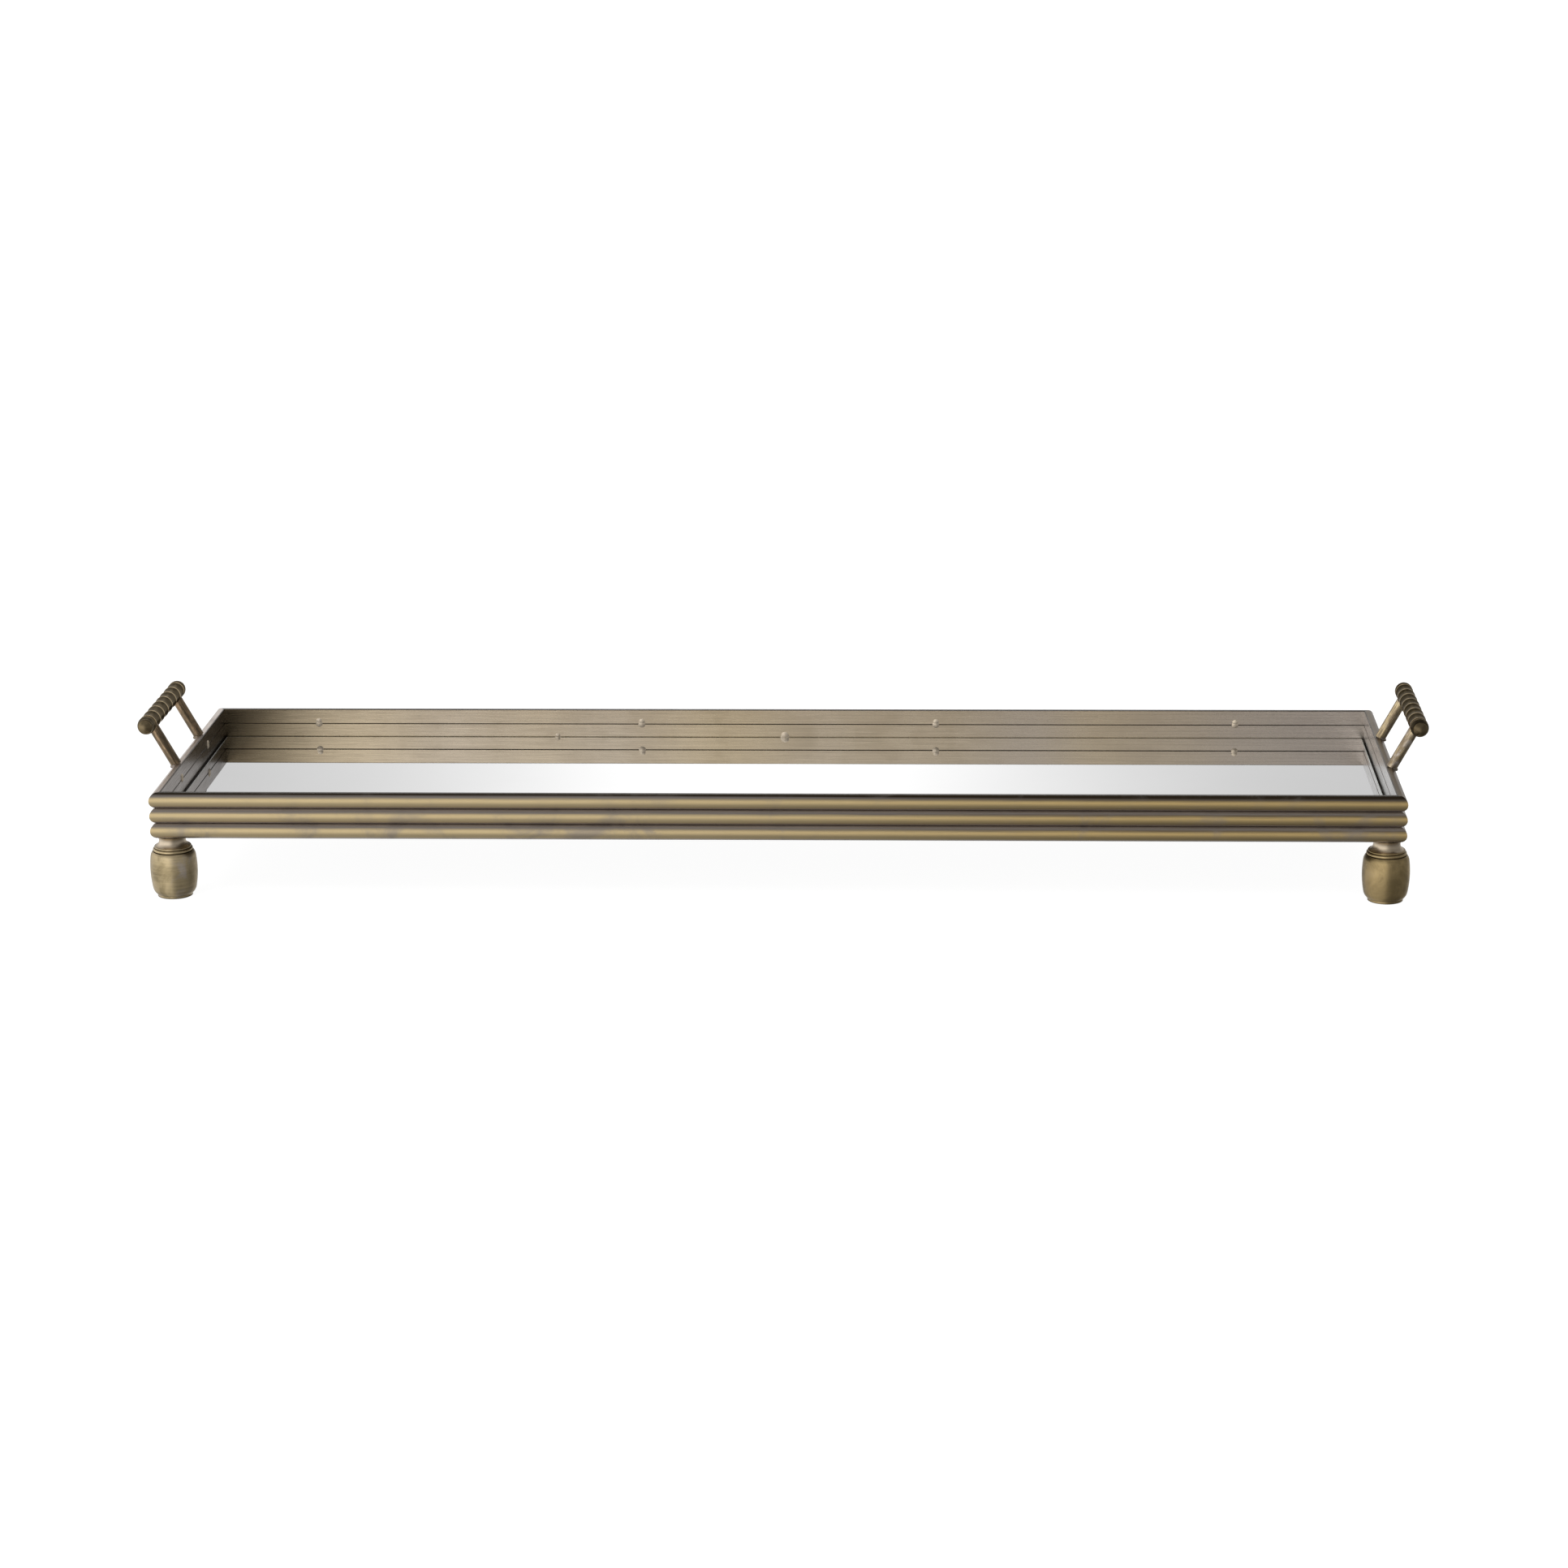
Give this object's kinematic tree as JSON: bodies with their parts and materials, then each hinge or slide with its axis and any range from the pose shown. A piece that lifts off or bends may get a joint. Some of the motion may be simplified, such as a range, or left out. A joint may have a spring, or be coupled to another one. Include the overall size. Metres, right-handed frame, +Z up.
{
  "type": "mirrored brass tray",
  "caption": "Long rectangular serving tray with walls of stacked half-round brass rails, a mirrored floor, leaning ribbed bar handles at the short ends and turned barrel feet",
  "frame": {"origin": "On the surface that the feet stand on, under the middle of the tray", "axes": "+X along the tray's length to the right handle, +Y across it to the back wall, +Z up"},
  "size_m": [0.9574, 0.2582, 0.1205],
  "materials": {
    "rail_brass": "antiqued brass, rubbed back to gold along the rounds, grey-brown patina in the grooves",
    "solder": "dull brazed spots, filed smooth and antiqued with the rails",
    "mirror": "clear silvered glass with a fine ground arris",
    "board": "hardboard painted matt black",
    "hidden_brass": "dark antiqued strip, unpolished",
    "foot_brass": "turned and antiqued, fine lathe lines, patchy patina",
    "screw_steel": "plain zinc-plated screw",
    "weld": "dark brazing fillet, unpolished",
    "post_brass": "antiqued round rod with gold wear and grey-violet patina",
    "grip_brass": "dark antiqued turning, ridges and end domes worn bright"
  },
  "bodies": {
    "root": {"front_rail_top": "rail_brass", "front_rail_middle": "rail_brass", "front_rail_bottom": "rail_brass", "back_rail_top": "rail_brass", "back_rail_middle": "rail_brass", "back_rail_bottom": "rail_brass", "left_rail_top": "rail_brass", "left_rail_middle": "rail_brass", "left_rail_bottom": "rail_brass", "right_rail_top": "rail_brass", "right_rail_middle": "rail_brass", "right_rail_bottom": "rail_brass", "front_wall_solder_1": "solder", "front_wall_solder_2": "solder", "front_wall_solder_3": "solder", "front_wall_solder_4": "solder", "front_wall_solder_5": "solder", "front_wall_solder_6": "solder", "back_wall_solder_1": "solder", "back_wall_solder_2": "solder", "back_wall_solder_3": "solder", "back_wall_solder_4": "solder", "back_wall_solder_5": "solder", "back_wall_solder_6": "solder", "left_wall_solder_1": "solder", "left_wall_solder_2": "solder", "mirror_glass": "mirror", "backing_board": "board", "front_ledge_strip": "hidden_brass", "back_ledge_strip": "hidden_brass", "left_ledge_strip": "hidden_brass", "right_ledge_strip": "hidden_brass", "corner_plate_front_left": "hidden_brass", "corner_plate_front_right": "hidden_brass", "corner_plate_back_left": "hidden_brass", "corner_plate_back_right": "hidden_brass", "foot_front_left": "foot_brass", "foot_front_right": "foot_brass", "foot_back_left": "foot_brass", "foot_back_right": "foot_brass", "foot_screws": "screw_steel", "foot_weld_beads": "weld", "left_handle_post_front": "post_brass", "left_handle_post_back": "post_brass", "right_handle_post_front": "post_brass", "right_handle_post_back": "post_brass", "left_handle_grip": "grip_brass", "right_handle_grip": "grip_brass", "handle_weld_beads": "weld"}
  },
  "joints": []
}
